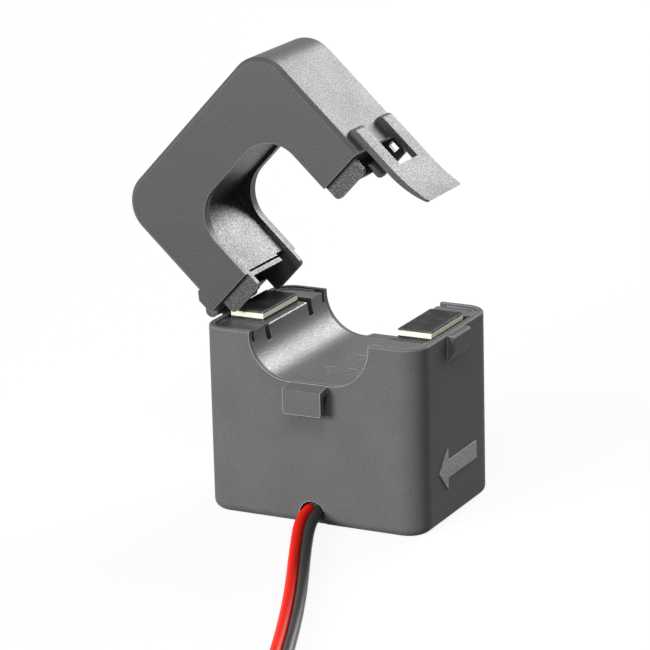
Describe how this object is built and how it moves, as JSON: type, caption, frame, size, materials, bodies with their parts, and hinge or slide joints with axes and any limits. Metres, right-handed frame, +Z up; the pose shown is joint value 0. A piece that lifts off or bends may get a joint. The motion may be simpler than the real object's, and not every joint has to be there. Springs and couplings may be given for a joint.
{
  "type": "current transformer",
  "caption": "Split-core current transformer with a hinged upper half swung open, a snap latch, rounded conductor window, ground core poles and a pair of insulated leads.",
  "frame": {"origin": "middle of the lower housing's underside, the face that it stands on", "axes": "+Z up out of the lower housing's mouth, +Y to the rear along the conductor's axis, +X from the hinge to the latch"},
  "size_m": [0.0752, 0.1601, 0.0868],
  "materials": {
    "housing_plastic": "fine matt moulded",
    "liner_plastic": "fine matt moulded",
    "core_metal": "ground and lacquered",
    "collar_plastic": "satin",
    "bobbin_plastic": "satin",
    "copper": "enamelled wire",
    "tape": "smooth film",
    "steel": "satin",
    "pin_metal": "blackened",
    "red_insulation": "smooth",
    "black_insulation": "smooth",
    "grip_rubber": "matt"
  },
  "bodies": {
    "base": {"lower_housing": "housing_plastic", "lower_carrier": "liner_plastic", "lower_core": "core_metal", "lower_collar_left": "collar_plastic", "lower_collar_right": "collar_plastic", "bobbin": "bobbin_plastic", "secondary_winding": "copper", "winding_tape": "tape", "hinge_pin": "pin_metal", "lead_grip": "grip_rubber", "splice_red": "grip_rubber", "splice_black": "grip_rubber", "red_lead": "red_insulation", "black_lead": "black_insulation", "lead_coil": "black_insulation"},
    "lid": {"upper_housing": "housing_plastic", "upper_retainer": "liner_plastic", "upper_core": "core_metal", "upper_collar_left": "collar_plastic", "upper_collar_right": "collar_plastic", "core_spring": "steel"},
    "latch": {"latch": "housing_plastic"}
  },
  "joints": [
    {"name": "lid_hinge", "type": "hinge", "parent": "base", "child": "lid", "pos_m": [-0.0244, 0, 0.0368], "axis": [0, -1, 0], "range_deg": [-46.8, 60]},
    {"name": "latch_flex", "type": "hinge", "parent": "lid", "child": "latch", "pos_m": [0.00494, 0, 0.07359], "axis": [0, -1, 0], "range_deg": [0, 12], "stiffness_Nm_per_rad": 0.05}
  ]
}
